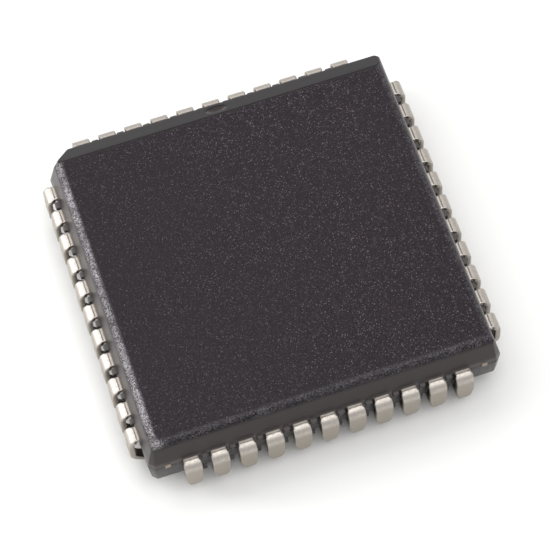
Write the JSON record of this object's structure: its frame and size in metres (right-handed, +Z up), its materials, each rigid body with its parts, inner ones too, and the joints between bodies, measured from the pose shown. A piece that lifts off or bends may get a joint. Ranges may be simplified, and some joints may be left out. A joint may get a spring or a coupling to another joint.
{
  "type": "plcc chip",
  "caption": "Square moulded chip carrier with J-shaped leads curled under all four sides, a bevelled pin 1 edge and a chamfered pin 1 corner.",
  "frame": {"origin": "middle of the plane that the lead feet stand on", "axes": "+Z up out of the top face, +Y towards the bevelled pin 1 side, +X to the right when that side is at the back"},
  "size_m": [0.0176, 0.0176, 0.0042],
  "materials": {
    "mould_compound": "spark-eroded black epoxy moulding",
    "tin_plate": "matte tin plate over copper alloy",
    "copper_frame": "stamped copper alloy",
    "die_attach": "cured silver-filled epoxy",
    "silicon": "polished silicon",
    "gold_wire": "drawn gold wire"
  },
  "bodies": {
    "root": {"body": "mould_compound", "die_paddle": "copper_frame", "die_attach": "die_attach", "die": "silicon", "bond_wires": "gold_wire", "lead_01": "tin_plate", "lead_02": "tin_plate", "lead_03": "tin_plate", "lead_04": "tin_plate", "lead_05": "tin_plate", "lead_06": "tin_plate", "lead_07": "tin_plate", "lead_08": "tin_plate", "lead_09": "tin_plate", "lead_10": "tin_plate", "lead_11": "tin_plate", "lead_12": "tin_plate", "lead_13": "tin_plate", "lead_14": "tin_plate", "lead_15": "tin_plate", "lead_16": "tin_plate", "lead_17": "tin_plate", "lead_18": "tin_plate", "lead_19": "tin_plate", "lead_20": "tin_plate", "lead_21": "tin_plate", "lead_22": "tin_plate", "lead_23": "tin_plate", "lead_24": "tin_plate", "lead_25": "tin_plate", "lead_26": "tin_plate", "lead_27": "tin_plate", "lead_28": "tin_plate", "lead_29": "tin_plate", "lead_30": "tin_plate", "lead_31": "tin_plate", "lead_32": "tin_plate", "lead_33": "tin_plate", "lead_34": "tin_plate", "lead_35": "tin_plate", "lead_36": "tin_plate", "lead_37": "tin_plate", "lead_38": "tin_plate", "lead_39": "tin_plate", "lead_40": "tin_plate", "lead_41": "tin_plate", "lead_42": "tin_plate", "lead_43": "tin_plate", "lead_44": "tin_plate"}
  },
  "joints": []
}
